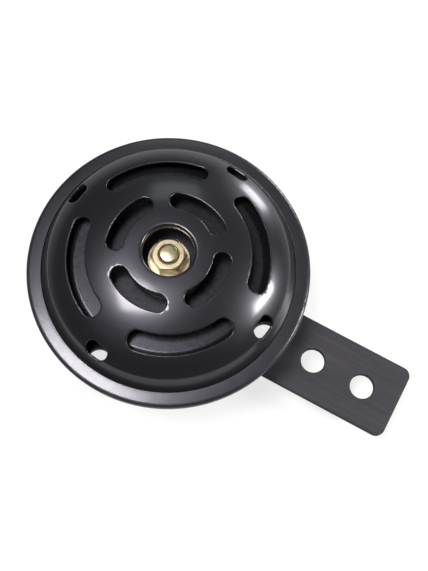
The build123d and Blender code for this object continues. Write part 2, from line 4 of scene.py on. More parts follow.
import bmesh
import bpy
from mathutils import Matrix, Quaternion, Vector


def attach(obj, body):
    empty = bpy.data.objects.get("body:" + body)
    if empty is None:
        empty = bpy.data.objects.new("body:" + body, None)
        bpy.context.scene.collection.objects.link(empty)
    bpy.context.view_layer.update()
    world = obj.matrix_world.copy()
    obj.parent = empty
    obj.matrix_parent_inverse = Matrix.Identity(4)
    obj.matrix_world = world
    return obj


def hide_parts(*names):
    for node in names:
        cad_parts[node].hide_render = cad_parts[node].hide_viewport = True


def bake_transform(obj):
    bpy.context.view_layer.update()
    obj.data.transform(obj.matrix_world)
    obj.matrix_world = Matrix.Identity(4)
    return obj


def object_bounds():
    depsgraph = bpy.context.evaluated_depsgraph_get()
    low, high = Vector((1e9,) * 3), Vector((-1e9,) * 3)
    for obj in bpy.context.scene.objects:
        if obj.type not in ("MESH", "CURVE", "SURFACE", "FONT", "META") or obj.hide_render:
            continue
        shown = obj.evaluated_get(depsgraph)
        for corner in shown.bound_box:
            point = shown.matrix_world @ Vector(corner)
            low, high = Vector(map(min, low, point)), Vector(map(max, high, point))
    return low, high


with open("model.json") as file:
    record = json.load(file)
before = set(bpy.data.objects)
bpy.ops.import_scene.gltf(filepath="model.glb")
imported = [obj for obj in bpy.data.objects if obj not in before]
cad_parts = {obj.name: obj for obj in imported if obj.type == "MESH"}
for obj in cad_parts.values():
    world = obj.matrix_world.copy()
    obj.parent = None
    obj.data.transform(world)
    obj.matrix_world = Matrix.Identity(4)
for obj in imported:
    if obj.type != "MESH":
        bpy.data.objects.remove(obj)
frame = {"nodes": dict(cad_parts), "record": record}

CAD_BOX = [list(corner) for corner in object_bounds()]
MM = 0.001

# ---------------------------------------------------------------- sizes in mm, angles in degrees
HORN_X = -64.75
RIM_TOP = 23.5
LIP_RADIUS = 41.2
EDGE_ROUND = 0.3

# The cover's sheet, its radii along the sheet's middle, and its bends.
COVER_SHEET = 0.8
COVER_FLANGE_TOP = 22.5
STACK_RADIUS = 44.4
WALL_FOOT_RADIUS = 41.25
CREASE_RADIUS = 38.05
CREASE_TOP = RIM_TOP + 5.9
SHOULDER_RADIUS = 31.75
DOME_TOP = RIM_TOP + 15.5
DOME_ARC = 54.0
MOUTH_RADIUS = 8.45
MOUTH_TURN = 2.0
MOUTH_BEND = 0.5
CREASE_BEND = 0.9
FOOT_BEND = 1.3

# Each ring of slots: radius of its middle line, slot width, span and first middle angle.
SLOT_TWIST = 37.0
OUTER_SLOT = (29.0, 5.9, 55.0, SLOT_TWIST)
INNER_SLOT = (16.9, 5.6, 52.0, SLOT_TWIST + 45.0)
DRAIN_SLOT = (36.9, 4.0, 5.6, SLOT_TWIST + 45.0)
SLOT_STEPS = 28
SLOT_END_STEPS = 16

# The pressed blank is cut into a square grid, and finer in the rings that bend.
GRID_OFFSET = 0.137
BEND_RING = 1.8
BEND_CUTS = 2

# The rolled lip's crown.
LIP_BEND = 0.18
LIP_BAND = 0.9
LIP_START_RADIUS = LIP_RADIUS + 0.2
LIP_FLAT_RADIUS = 44.6
LIP_FLAT_SLOPE = 0.05
LIP_CURVE = 0.013
LIP_EDGE_SLOPE = -0.08

DISC_BACK = 28.1
DISC_SHEET = 1.2
DISC_BORE = 3.1
DISC_HUB = 11.0
DISC_STEP = (2.0, 0.8)
DISC_RADIUS = 32.5
DISC_RIM = (2.6, 1.0)
DISC_BEND = 1.6

STRIP_THICKNESS = 2.5
STRIP_WIDTH = 25.5
STRIP_CORNER = 3.0
STRIP_END = 13.0
STRIP_PITCH = 18.5
STRIP_HOLES = 5
STRIP_HOLE = 4.1

FRONT_STUD = 3.0
FRONT_STUD_CUT = 34.0
FRONT_STUD_END = 36.4
TIP_CHAMFER = 0.45
TIP_CROWN = 0.22
NUT_COUNTERSINK = 0.45
NUT_EDGE = 0.07

# Radius, pitch, low end, high end and end chamfer of each thread.
REAR_THREAD = (4.0, 1.25, -11.6, -9.0, 0.6)
SCREW_THREAD = (2.0, 0.7, 9.7, 12.6, 0.0)
THREAD_STEPS = 48
SCREW_CIRCLE = 25.5
SCREW_ANGLE = 180.0 - 16.2 - 24.0

FLOOR_SIZE = 3.0
FLOOR_GAP = 0.0001
FLOOR_GLOW = 0.74
FLOOR_GLOSS_SHARE = 0.3
LAMP_TARGET_HEIGHT = 30.0


# ---------------------------------------------------------------- camera
camera_data = bpy.data.cameras.new("camera")
camera_data.sensor_fit = "VERTICAL"
camera_data.sensor_height = 36.0
camera_data.lens = 900.0 * 36.0 / 571.0
camera_data.clip_start = 0.01
camera = bpy.data.objects.new("camera", camera_data)
bpy.context.scene.collection.objects.link(camera)
camera.location = Vector((-18.11, -76.14, 300.83)) * MM
camera.rotation_euler = (radians(16.600), radians(-1.978), radians(28.327))
bpy.context.scene.camera = camera
bpy.context.scene.view_settings.view_transform = "Standard"


# ---------------------------------------------------------------- materials
class Finish:
    """A node material with a Principled shader, and short calls that add nodes to it."""

    def __init__(self, name, colour, roughness, metallic=0.0):
        self.slot = name
        self.material = bpy.data.materials.new(name + "_finish")
        self.material.use_nodes = True
        self.tree = self.material.node_tree
        self.shader = self.tree.nodes["Principled BSDF"]
        self.set("Base Color", (*colour, 1.0))
        self.set("Roughness", roughness)
        self.set("Metallic", metallic)
        self.colour = (*colour, 1.0)

    def set(self, socket, value):
        """Sets one of the shader's own sockets."""
        self.shader.inputs[socket].default_value = value

    def node(self, kind, **values):
        """Adds a node of that kind, with its settings."""
        made = self.tree.nodes.new("ShaderNode" + kind)
        for name, value in values.items():
            setattr(made, name, value)
        return made

    def link(self, out, into):
        self.tree.links.new(out, into)

    def place(self):
        """Position on the piece, in metres."""
        return self.node("TexCoord").outputs["Object"]

    def noise(self, scale, detail=3.0, roughness=0.55, stretch=(1, 1, 1)):
        """Noise of that many cells per metre over the piece, stretched as given."""
        mapping = self.node("Mapping")
        mapping.inputs["Scale"].default_value = stretch
        self.link(self.place(), mapping.inputs["Vector"])
        made = self.node("TexNoise")
        made.inputs["Scale"].default_value = scale
        made.inputs["Detail"].default_value = detail
        made.inputs["Roughness"].default_value = roughness
        self.link(mapping.outputs["Vector"], made.inputs["Vector"])
        return made.outputs["Fac"]

    def ramp(self, value, low, high, to_low=0.0, to_high=1.0):
        """Stretches the range from low to high of a value to a new range."""
        made = self.node("MapRange")
        made.inputs["From Min"].default_value = low
        made.inputs["From Max"].default_value = high
        made.inputs["To Min"].default_value = to_low
        made.inputs["To Max"].default_value = to_high
        self.link(value, made.inputs["Value"])
        return made.outputs["Result"]

    def blend_colour(self, factor, other):
        """Mixes another colour in by a factor that varies over the piece."""
        mix = self.node("Mix", data_type="RGBA")
        self.link(factor, mix.inputs["Factor"])
        source = self.shader.inputs["Base Color"]
        if source.is_linked:
            self.link(source.links[0].from_socket, mix.inputs["A"])
        else:
            mix.inputs["A"].default_value = self.colour
        mix.inputs["B"].default_value = (*other, 1.0)
        self.link(mix.outputs["Result"], source)

    def vary_roughness(self, value, low, high):
        """Lets the roughness wander between two values."""
        self.link(self.ramp(value, 0.3, 0.7, low, high), self.shader.inputs["Roughness"])

    def bump(self, value, distance_mm):
        """Adds surface relief of that depth; calls add up."""
        made = self.node("Bump")
        made.inputs["Distance"].default_value = distance_mm * MM
        made.inputs["Strength"].default_value = 1.0
        self.link(value, made.inputs["Height"])
        normal = self.shader.inputs["Normal"]
        if normal.is_linked:
            self.link(normal.links[0].from_socket, made.inputs["Normal"])
        self.link(made.outputs["Normal"], normal)


def painted(name, colour, roughness, grain, depth, spread, coat=0.0, coat_roughness=0.14):
    """Paint over sheet steel: fine grain, slightly uneven gloss and a sharper skin on top."""
    made = Finish(name, colour, roughness)
    made.set("Coat Weight", coat)
    made.set("Coat Roughness", coat_roughness)
    made.set("Specular Tint", (0.90, 0.88, 1.0, 1.0))
    made.bump(made.noise(grain, 2.0), depth)
    made.link(made.shader.inputs["Normal"].links[0].from_socket, made.shader.inputs["Coat Normal"])
    made.vary_roughness(made.noise(grain / 3, 4.0), roughness - spread, roughness + spread)
    lighter = tuple(c * 1.25 + 0.001 for c in colour)
    made.blend_colour(made.ramp(made.noise(grain * 0.8, 2.0), 0.45, 0.75), lighter)
    return made


def plated(name, colour, roughness, tint, patch=140.0):
    """Zinc plating: metal with clouded colour and fine scratches."""
    made = Finish(name, colour, roughness, metallic=1.0)
    made.blend_colour(made.ramp(made.noise(patch, 3.0), 0.35, 0.65), tint)
    made.vary_roughness(made.noise(1100.0, 3.0), roughness - 0.05, roughness + 0.08)
    made.bump(made.noise(2600.0, 2.0), 0.002)
    return made


cover_paint = painted("cover_paint", (0.009, 0.009, 0.0105), 0.34, 2400.0, 0.003, 0.02, 0.55)
rim_paint = painted("rim_paint", (0.013, 0.013, 0.015), 0.38, 1500.0, 0.02, 0.04, 0.6, 0.18)
strip_paint = painted("strip_paint", (0.019, 0.0184, 0.0194), 0.60, 2200.0, 0.012, 0.03)
strip_streaks = strip_paint.noise(420.0, 4.0, 0.6, (0.06, 1.0, 1.0))
strip_paint.blend_colour(strip_paint.ramp(strip_streaks, 0.45, 0.75), (0.032, 0.0305, 0.032))
disc_paint = painted("tone_disc_paint", (0.008, 0.008, 0.0095), 0.28, 1800.0, 0.003, 0.03)
yellow_zinc = plated("yellow_zinc", (0.58, 0.48, 0.325), 0.34, (0.52, 0.49, 0.30), 420.0)
yellow_zinc.blend_colour(
    yellow_zinc.ramp(yellow_zinc.noise(260.0, 3.0), 0.52, 0.66), (0.59, 0.44, 0.34)
)
clear_zinc = plated("clear_zinc", (0.55, 0.56, 0.58), 0.32, (0.46, 0.47, 0.50))
spring_steel = plated("diaphragm_steel", (0.33, 0.33, 0.34), 0.38, (0.26, 0.26, 0.28))
leaf_steel = plated("leaf_steel", (0.48, 0.46, 0.42), 0.34, (0.40, 0.37, 0.33))
tungsten = plated("contact_metal", (0.62, 0.62, 0.63), 0.22, (0.52, 0.52, 0.54))
brass = plated("terminal_brass", (0.78, 0.60, 0.28), 0.30, (0.66, 0.50, 0.24))
rivet_brass = plated("rivet_brass", (0.70, 0.53, 0.25), 0.34, (0.58, 0.43, 0.20))


def moulded(name, colour, roughness, grain, depth, tint):
    """Fibre or plastic: clouded colour, uneven gloss and a soft grain."""
    made = Finish(name, colour, roughness)
    made.blend_colour(made.ramp(made.noise(grain / 5, 4.0), 0.4, 0.7), tint)
    made.vary_roughness(made.noise(grain / 2, 3.0), roughness - 0.07, roughness + 0.07)
    made.bump(made.noise(grain, 2.0), depth)
    return made


fibre = moulded("gasket_fibre", (0.030, 0.028, 0.026), 0.85, 1400.0, 0.05, (0.018, 0.017, 0.016))
nylon = moulded("bobbin_nylon", (0.62, 0.58, 0.46), 0.45, 700.0, 0.01, (0.54, 0.50, 0.38))
phenolic = moulded("pad_phenolic", (0.20, 0.09, 0.035), 0.50, 900.0, 0.02, (0.12, 0.055, 0.025))
enamel = Finish("coil_enamel", (0.45, 0.16, 0.05), 0.28, metallic=0.9)
turns = enamel.node("TexWave", wave_type="BANDS", bands_direction="Z", wave_profile="SIN")
turns.inputs["Scale"].default_value = 320.0
turns.inputs["Distortion"].default_value = 0.4
enamel.link(enamel.place(), turns.inputs["Vector"])
enamel.bump(turns.outputs["Fac"], 0.18)
# Where the bands dip between the turns, the enamel is painted darker: painted shade in the grooves.
enamel.blend_colour(enamel.ramp(turns.outputs["Fac"], 0.3, 0.0), (0.16, 0.05, 0.02))

FINISHES = {
    made.slot: made.material
    for made in (
        cover_paint,
        rim_paint,
        strip_paint,
        disc_paint,
        yellow_zinc,
        clear_zinc,
        spring_steel,
        leaf_steel,
        tungsten,
        brass,
        rivet_brass,
        fibre,
        nylon,
        phenolic,
        enamel,
    )
}
NODE_SLOTS = {part["node"]: part["material_slot"] for part in frame["record"]["subparts"]}
NODE_BODIES = {
    node: body
    for body, members in frame["record"]["behaviour"]["bodies"].items()
    for node in members
}
for node_name, node in frame["nodes"].items():
    node.data.materials.clear()
    node.data.materials.append(FINISHES[NODE_SLOTS[node_name]])


# ---------------------------------------------------------------- piece helpers
def place_piece(name, mesh, node_name):
    """Puts a finished mesh in the scene in place of a node of the model."""
    piece = bpy.data.objects.new(name, mesh)
    bpy.context.scene.collection.objects.link(piece)
    mesh.materials.clear()
    mesh.materials.append(FINISHES[NODE_SLOTS[node_name]])
    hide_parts(node_name)
    return piece


def add_piece(name, work, node_name, smooth_angle=32.0, broad_faces=False):
    """Finishes a bmesh as a smooth piece that rides on its node's body."""
    mesh = to_mesh(name, work)
    mesh.polygons.foreach_set("use_smooth", [True] * len(mesh.polygons))
    mesh.set_sharp_from_angle(angle=radians(smooth_angle))
    piece = place_piece(name, mesh, node_name)
    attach(piece, NODE_BODIES[node_name])
    if broad_faces:
        # Broad faces keep their own direction, so that the shine turns only at the edges.
        weights = piece.modifiers.new("broad_faces", "WEIGHTED_NORMAL")
        weights.keep_sharp = True
        weights.weight = 80


def to_mesh(name, work):
    """Turns a bmesh drawn in millimetres into a mesh in metres."""
    bmesh.ops.scale(work, vec=(MM, MM, MM), verts=work.verts)
    mesh = bpy.data.meshes.new(name)
    work.to_mesh(mesh)
    work.free()
    return mesh


def from_node(node_name):
    """Merged copy of a node's mesh, in millimetres."""
    work = bmesh.new()
    work.from_mesh(frame["nodes"][node_name].data)
    bmesh.ops.scale(work, vec=(1 / MM, 1 / MM, 1 / MM), verts=work.verts)
    bmesh.ops.remove_doubles(work, verts=work.verts, dist=0.0004)
    return work


def spun_profile(points, steps=192):
    """Turns a section, given as (radius, height) in millimetres, about the horn's axis."""
    work = bmesh.new()
    verts = [work.verts.new((HORN_X + radius, 0, height)) for radius, height in points]
    edges = [work.edges.new(pair) for pair in zip(verts, verts[1:] + verts[:1])]
    bmesh.ops.spin(
        work,
        geom=verts + edges,
        cent=(HORN_X, 0, 0),
        axis=(0, 0, 1),
        angle=2 * pi,
        steps=steps,
        use_merge=True,
    )
    bmesh.ops.remove_doubles(work, verts=work.verts, dist=0.0005)
    bmesh.ops.recalc_face_normals(work, faces=work.faces)
    return work


def arc(centre, radius, start, end, count):
    """Points along an arc, angles in degrees."""
    return [
        (
            centre[0] + radius * cos(radians(start + (end - start) * i / count)),
            centre[1] + radius * sin(radians(start + (end - start) * i / count)),
        )
        for i in range(count + 1)
    ]


def rounded(points, bends, count=8):
    """Polyline with the inner corners rounded to the given bend radii."""
    out = [points[0]]
    for before, corner, after, bend in zip(points, points[1:], points[2:], bends):
        corner = Vector(corner)
        to_before = (Vector(before) - corner).normalized()
        to_after = (Vector(after) - corner).normalized()
        if bend <= 0:
            out.append(tuple(corner))
            continue
        half = to_before.angle(to_after) / 2
        reach = bend / max(1e-6, sin(half)) * cos(half)
        middle = corner + (to_before + to_after).normalized() * bend / sin(half)
        first = corner + to_before * reach - middle
        last = corner + to_after * reach - middle
        a0 = atan2(first.y, first.x)
        sweep = atan2(last.y, last.x) - a0
        sweep = (sweep + pi) % (2 * pi) - pi
        for i in range(count + 1):
            angle = a0 + sweep * i / count
            out.append((middle.x + bend * cos(angle), middle.y + bend * sin(angle)))
    out.append(points[-1])
    return out


# ---------------------------------------------------------------- front cover, pressed from a blank
# The line along the middle of the sheet, from the turned-in mouth to the flange's edge.
dome_centre = (MOUTH_RADIUS, DOME_TOP - DOME_ARC)
dome_drop = sqrt(DOME_ARC**2 - (SHOULDER_RADIUS - MOUTH_RADIUS) ** 2)
dome_end = Vector((SHOULDER_RADIUS, dome_centre[1] + dome_drop))
dome_end_angle = 90.0 - degrees(atan2(SHOULDER_RADIUS - MOUTH_RADIUS, dome_drop))
crease = Vector((CREASE_RADIUS, CREASE_TOP))
tangent = Vector((dome_drop, MOUTH_RADIUS - SHOULDER_RADIUS)).normalized()
inward = Vector((tangent.y, -tangent.x))
chord = crease - dome_end
shoulder_arc = chord.length_squared / (2 * chord.dot(inward))
shoulder_centre = dome_end + inward * shoulder_arc
shoulder_end = crease - shoulder_centre
shoulder_end_angle = degrees(atan2(shoulder_end.y, shoulder_end.x))

meridian = [(MOUTH_RADIUS, DOME_TOP - MOUTH_TURN), (MOUTH_RADIUS, DOME_TOP)]
meridian += arc(dome_centre, DOME_ARC, 90.0, dome_end_angle, 40)[1:]
meridian += arc(shoulder_centre, shoulder_arc, dome_end_angle, shoulder_end_angle, 14)[1:]
crease_index = len(meridian) - 1
flange_middle = COVER_FLANGE_TOP - COVER_SHEET / 2
meridian += [(WALL_FOOT_RADIUS, flange_middle), (STACK_RADIUS, flange_middle)]
bends = [0.0] * (len(meridian) - 2)
bends[0] = MOUTH_BEND
bends[crease_index - 1] = CREASE_BEND
bends[crease_index] = FOOT_BEND


def round_where_it_fits(points, bends):
    """Rounds corners whose bend reaches past short neighbours by dropping those neighbours."""
    points = list(points)
    keep = [True] * len(points)
    for index, bend in enumerate(bends, start=1):
        if bend <= 0:
            continue
        corner = Vector(points[index])
        for step in (-1, 1):
            other = index + step
            while 0 < other < len(points) - 1 and (Vector(points[other]) - corner).length < bend:
                keep[other] = False
                other += step
    kept = [p for p, k in zip(points, keep) if k]
    kept_bends = [b for b, k in zip([0.0] + bends + [0.0], keep) if k][1:-1]
    return rounded(kept, kept_bends)


meridian = round_where_it_fits(meridian, bends)
reach = [MOUTH_RADIUS - MOUTH_TURN]
for before, after in zip(meridian, meridian[1:]):
    reach.append(reach[-1] + hypot(after[0] - before[0], after[1] - before[1]))


def on_meridian(along, lift):
    """Radius and height of a point of the blank, with its lift above the sheet's middle."""
    index = 0
    while index < len(reach) - 2 and reach[index + 1] < along:
        index += 1
    a, b = Vector(meridian[index]), Vector(meridian[index + 1])
    t = (along - reach[index]) / (reach[index + 1] - reach[index])

    def facing(i):
        i0, i1 = max(0, i - 1), min(len(meridian) - 1, i + 1)
        run = Vector(meridian[i1]) - Vector(meridian[i0])
        return Vector((-run.y, run.x)).normalized()

    normal = (facing(index) * (1 - t) + facing(index + 1) * t).normalized()
    if along < MOUTH_RADIUS - MOUTH_BEND:
        normal = Vector((-1, 0))
    point = a.lerp(b, t) + normal * lift
    return point.x, point.y


def blank_radius(radius):
    """Distance along the blank of the point whose outer face lands at that radius."""
    near, far = MOUTH_RADIUS, reach[-1]
    for halving in range(24):
        middle = (near + far) / 2
        if on_meridian(middle, COVER_SHEET / 2)[0] < radius:
            near = middle
        else:
            far = middle
    return near


def slot_outline(radius, width, span, middle, start):
    """Plan outline of a slot with round ends, as points on the blank."""
    cap = width / 2
    plan = []
    first, last = radians(middle + start - span / 2), radians(middle + start + span / 2)
    for i in range(SLOT_STEPS + 1):
        angle = first + (last - first) * i / SLOT_STEPS
        plan.append(((radius + cap) * cos(angle), (radius + cap) * sin(angle)))
    for i in range(1, SLOT_END_STEPS):
        turn = last + pi * i / SLOT_END_STEPS
        plan.append((radius * cos(last) + cap * cos(turn), radius * sin(last) + cap * sin(turn)))
    for i in range(SLOT_STEPS + 1):
        angle = last + (first - last) * i / SLOT_STEPS
        plan.append(((radius - cap) * cos(angle), (radius - cap) * sin(angle)))
    for i in range(1, SLOT_END_STEPS):
        turn = first + pi + pi * i / SLOT_END_STEPS
        plan.append((radius * cos(first) + cap * cos(turn), radius * sin(first) + cap * sin(turn)))
    return plan


def circle_outline(radius, count, middle_x=0.0):
    """Round outline with that many points."""
    return [
        (middle_x + radius * cos(2 * pi * i / count), radius * sin(2 * pi * i / count))
        for i in range(count)
    ]


def on_blank(plan):
    """Carries plan points out along the blank, so that they land in place once it is pressed."""
    moved = []
    for x, y in plan:
        radius = hypot(x, y)
        along = blank_radius(radius)
        moved.append((x * along / radius, y * along / radius))
    return moved


def flat_blank(name, outlines, thickness):
    """Flat sheet with rounded edges from a set of closed outlines, in millimetres."""
    curve = bpy.data.curves.new(name, "CURVE")
    curve.dimensions = "2D"
    curve.fill_mode = "BOTH"
    curve.extrude = thickness / 2 - EDGE_ROUND
    curve.bevel_depth = EDGE_ROUND
    curve.bevel_resolution = 2
    curve.offset = -EDGE_ROUND
    for outline in outlines:
        spline = curve.splines.new("POLY")
        spline.points.add(len(outline) - 1)
        for point, (x, y) in zip(spline.points, outline):
            point.co = (x, y, 0, 1)
        spline.use_cyclic_u = True
    holder = bpy.data.objects.new(name, curve)
    bpy.context.scene.collection.objects.link(holder)
    bpy.context.view_layer.update()
    mesh = bpy.data.meshes.new_from_object(
        holder.evaluated_get(bpy.context.evaluated_depsgraph_get())
    )
    bpy.data.objects.remove(holder)
    work = bmesh.new()
    work.from_mesh(mesh)
    bpy.data.meshes.remove(mesh)
    bmesh.ops.remove_doubles(work, verts=work.verts, dist=0.001)
    return work


outlines = [circle_outline(reach[-1], 240), circle_outline(reach[0], 144)]
for quarter in (0, 90, 180, 270):
    for slot_sizes in (OUTER_SLOT, INNER_SLOT, DRAIN_SLOT):
        outlines.append(on_blank(slot_outline(*slot_sizes, quarter)))
blank = flat_blank("cover_blank", outlines, COVER_SHEET)
limit = int(reach[-1]) + 1
for across in ((1, 0, 0), (0, 1, 0)):
    for step in range(-limit, limit + 1):
        bmesh.ops.bisect_plane(
            blank,
            geom=blank.verts[:] + blank.edges[:] + blank.faces[:],
            plane_co=Vector(across) * (step + GRID_OFFSET),
            plane_no=across,
            dist=0.01,
        )


def bend_edges(work, along, width):
    """Edges of the blank that lie in the ring of that width about a bend."""
    return [
        edge
        for edge in work.edges
        if all(abs(hypot(vert.co.x, vert.co.y) - along) < width for vert in edge.verts)
    ]


crease_along = blank_radius(CREASE_RADIUS)
foot_along = crease_along + hypot(WALL_FOOT_RADIUS - CREASE_RADIUS, CREASE_TOP - COVER_FLANGE_TOP)
for bend_along in (MOUTH_RADIUS, crease_along, foot_along):
    bmesh.ops.subdivide_edges(
        blank,
        edges=bend_edges(blank, bend_along, BEND_RING),
        cuts=BEND_CUTS,
        use_grid_fill=True,
    )
for vert in blank.verts:
    along = hypot(vert.co.x, vert.co.y)
    radius, height = on_meridian(along, vert.co.z)
    vert.co = (HORN_X + vert.co.x * radius / along, vert.co.y * radius / along, height)
bmesh.ops.recalc_face_normals(blank, faces=blank.faces)
add_piece("cover_pressing", blank, "front_cover", 40.0, broad_faces=True)


# ---------------------------------------------------------------- tone disc and mounting strip
def sheet_section(middle, thickness):
    """Closed section of a sheet from the line along its middle."""
    front, back = [], []
    for index, point in enumerate(middle):
        before, after = middle[max(0, index - 1)], middle[min(len(middle) - 1, index + 1)]
        run = (Vector(after) - Vector(before)).normalized() * thickness / 2
        front.append((point[0] - run.y, point[1] + run.x))
        back.append((point[0] + run.y, point[1] - run.x))
    return front + back[::-1]


disc_middle = DISC_BACK + DISC_SHEET / 2
disc_line = rounded(
    [
        (DISC_BORE, disc_middle),
        (DISC_HUB, disc_middle),
        (DISC_HUB + DISC_STEP[0], disc_middle + DISC_STEP[1]),
        (DISC_RADIUS - DISC_RIM[0], disc_middle + DISC_STEP[1]),
        (DISC_RADIUS, disc_middle + DISC_STEP[1] - DISC_RIM[1]),
    ],
    (DISC_BEND, DISC_BEND, DISC_BEND),
)
disc = spun_profile(sheet_section(disc_line, DISC_SHEET))
add_piece("tone_disc_pressing", disc, "tone_disc")

strip_length = (STRIP_HOLES - 1) * STRIP_PITCH + 2 * STRIP_END
strip_middle = HORN_X + (STRIP_HOLES - 1) * STRIP_PITCH / 2
strip_outline = []
for start, side_x, side_y in ((0, 1, 1), (90, -1, 1), (180, -1, -1), (270, 1, -1)):
    corner = (
        strip_middle + side_x * (strip_length / 2 - STRIP_CORNER),
        side_y * (STRIP_WIDTH / 2 - STRIP_CORNER),
    )
    strip_outline += arc(corner, STRIP_CORNER, start, start + 90, 10)
strip_outlines = [strip_outline]
for step in range(STRIP_HOLES):
    strip_outlines.append(circle_outline(STRIP_HOLE, 64, HORN_X + step * STRIP_PITCH))
strip = flat_blank("strip_blank", strip_outlines, STRIP_THICKNESS)
bmesh.ops.translate(strip, vec=(0, 0, STRIP_THICKNESS / 2), verts=strip.verts)
add_piece("mounting_strip_bar", strip, "mounting_strip")


# ---------------------------------------------------------------- nodes with their edges rounded
def cut_off(work, height, keep_above):
    """Cuts the work at a height, keeps one side and closes it."""
    cut = bmesh.ops.bisect_plane(
        work,
        geom=work.verts[:] + work.edges[:] + work.faces[:],
        plane_co=(0, 0, height),
        plane_no=(0, 0, 1),
        clear_inner=keep_above,
        clear_outer=not keep_above,
    )
    bmesh.ops.contextual_create(
        work, geom=[item for item in cut["geom_cut"] if isinstance(item, bmesh.types.BMEdge)]
    )
    return work


def join_flats(work):
    """Joins the facets of each flat face."""
    bmesh.ops.dissolve_limit(
        work,
        angle_limit=radians(0.4),
        use_dissolve_boundaries=False,
        verts=work.verts,
        edges=work.edges,
        delimit=set(),
    )
    return work


def soften(work, width, segments=2, pick=lambda edge: True):
    """Rounds the sharp edges that pick() chooses."""
    chosen = [
        edge
        for edge in work.edges
        if len(edge.link_faces) == 2 and edge.calc_face_angle() > radians(18) and pick(edge)
    ]
    bmesh.ops.bevel(
        work,
        geom=chosen,
        offset=width,
        offset_type="OFFSET",
        segments=segments,
        profile=0.5,
        affect="EDGES",
        clamp_overlap=True,
        material=-1,
    )
    return work


def edge_height(edge):
    """Height of an edge's middle."""
    return (edge.verts[0].co.z + edge.verts[1].co.z) / 2


def edge_radius(edge):
    """Distance of an edge's middle from the horn's axis."""
    middle = (edge.verts[0].co + edge.verts[1].co) / 2
    return hypot(middle.x - HORN_X, middle.y)


def lip_edge(edge):
    """Edges where the rolled lip ends against the cover."""
    return edge_radius(edge) < LIP_RADIUS + 0.1 and edge_height(edge) > COVER_FLANGE_TOP - 0.1


# The rolled lip is slightly crowned and falls a little towards the rim's outer corner.
housing = soften(from_node("rear_housing"), LIP_BEND, 3, lip_edge)
lip_top = [
    face
    for face in housing.faces
    if face.calc_center_median().z > RIM_TOP - 0.01 and face.normal.z > 0.999
]
bmesh.ops.inset_region(
    housing, faces=lip_top, thickness=LIP_BAND, depth=0.0, use_even_offset=True
)
for vert in housing.verts:
    if vert.co.z > COVER_FLANGE_TOP + 0.02:
        radius = hypot(vert.co.x - HORN_X, vert.co.y)
        across = max(min(radius, LIP_FLAT_RADIUS) - LIP_START_RADIUS, 0.0)
        fall = LIP_FLAT_SLOPE * across + LIP_CURVE * across * across
        vert.co.z -= fall + LIP_EDGE_SLOPE * max(radius - LIP_FLAT_RADIUS, 0.0)
add_piece("rear_housing_finished", housing, "rear_housing", broad_faces=True)

# Small pieces, each with the rounding of its edges and the facets of that rounding.
for node_name, width, segments in (
    ("front_washer", 0.20, 2),
    ("rear_washer", 0.20, 2),
    ("spring_washer", 0.15, 2),
    ("rear_nut", 0.12, 2),
    ("adjuster_lock_nut", 0.12, 2),
    ("terminal_plate", 0.15, 2),
    ("breaker_terminal", 0.06, 2),
    ("coil_terminal", 0.06, 2),
    ("terminal_rivets", 0.35, 4),
):
    work = soften(join_flats(from_node(node_name)), width, segments)
    add_piece(node_name + "_finished", work, node_name, broad_faces=True)


def bore_edge(edge):
    """Edge of the front nut's bore on its front face."""
    return edge_radius(edge) < FRONT_STUD + 0.3 and edge_height(edge) > FRONT_STUD_CUT


def outer_edge(edge):
    """Edges of the front nut's hexagon and chamfers."""
    return edge_radius(edge) > FRONT_STUD + 0.8


nut = soften(join_flats(from_node("front_nut")), NUT_COUNTERSINK, 1, bore_edge)
nut = soften(nut, NUT_EDGE, 2, outer_edge)
add_piece("front_nut_finished", nut, "front_nut", broad_faces=True)

# The stud's tip is a rolled end: a chamfer and a slightly domed face.
tip_face = FRONT_STUD - TIP_CHAMFER
crown_radius = (tip_face**2 + TIP_CROWN**2) / (2 * TIP_CROWN)
crown_angle = degrees(asin(tip_face / crown_radius))
tip_section = [(0.0, FRONT_STUD_CUT), (FRONT_STUD, FRONT_STUD_CUT)]
tip_section.append((FRONT_STUD, FRONT_STUD_END - TIP_CROWN - TIP_CHAMFER))
crown = arc((0.0, FRONT_STUD_END - crown_radius), crown_radius, 90 - crown_angle, 90, 10)
add_piece("front_stud_tip", spun_profile(tip_section + crown, steps=96), "armature")
shank = cut_off(from_node("armature"), FRONT_STUD_CUT, keep_above=False)
add_piece("armature_shank", shank, "armature")


# ---------------------------------------------------------------- threads behind
def thread(middle, radius, pitch, low, high, chamfer):
    """Screw thread between two heights, its crests turned down towards the low end."""
    root = radius - 0.61 * pitch
    section = [(root, 0.0), (root, 0.06), (radius, 0.44), (radius, 0.56), (root, 0.94), (root, 1.0)]
    turns = int((high - low) / pitch) + 3
    work = bmesh.new()
    verts = [
        work.verts.new((middle.x + out, middle.y, low + (rise - 1) * pitch))
        for out, rise in section
    ]
    edges = [work.edges.new(pair) for pair in zip(verts, verts[1:])]
    bmesh.ops.spin(
        work,
        geom=verts + edges,
        cent=(middle.x, middle.y, 0),
        axis=(0, 0, 1),
        dvec=(0, 0, pitch / THREAD_STEPS),
        angle=2 * pi * turns,
        steps=THREAD_STEPS * turns,
        use_merge=False,
    )
    bmesh.ops.remove_doubles(work, verts=work.verts, dist=0.002)
    work = cut_off(cut_off(work, low, keep_above=True), high, keep_above=False)
    for vert in work.verts:
        out = Vector((vert.co.x - middle.x, vert.co.y - middle.y))
        limit = radius - max(chamfer - (vert.co.z - low), 0.0)
        if out.length > limit:
            vert.co.x = middle.x + out.x * limit / out.length
            vert.co.y = middle.y + out.y * limit / out.length
    bmesh.ops.recalc_face_normals(work, faces=work.faces)
    return work


add_piece("rear_stud_thread", thread(Vector((HORN_X, 0)), *REAR_THREAD), "pole_core")
core = cut_off(from_node("pole_core"), REAR_THREAD[3], keep_above=True)
add_piece("pole_core_shank", core, "pole_core")

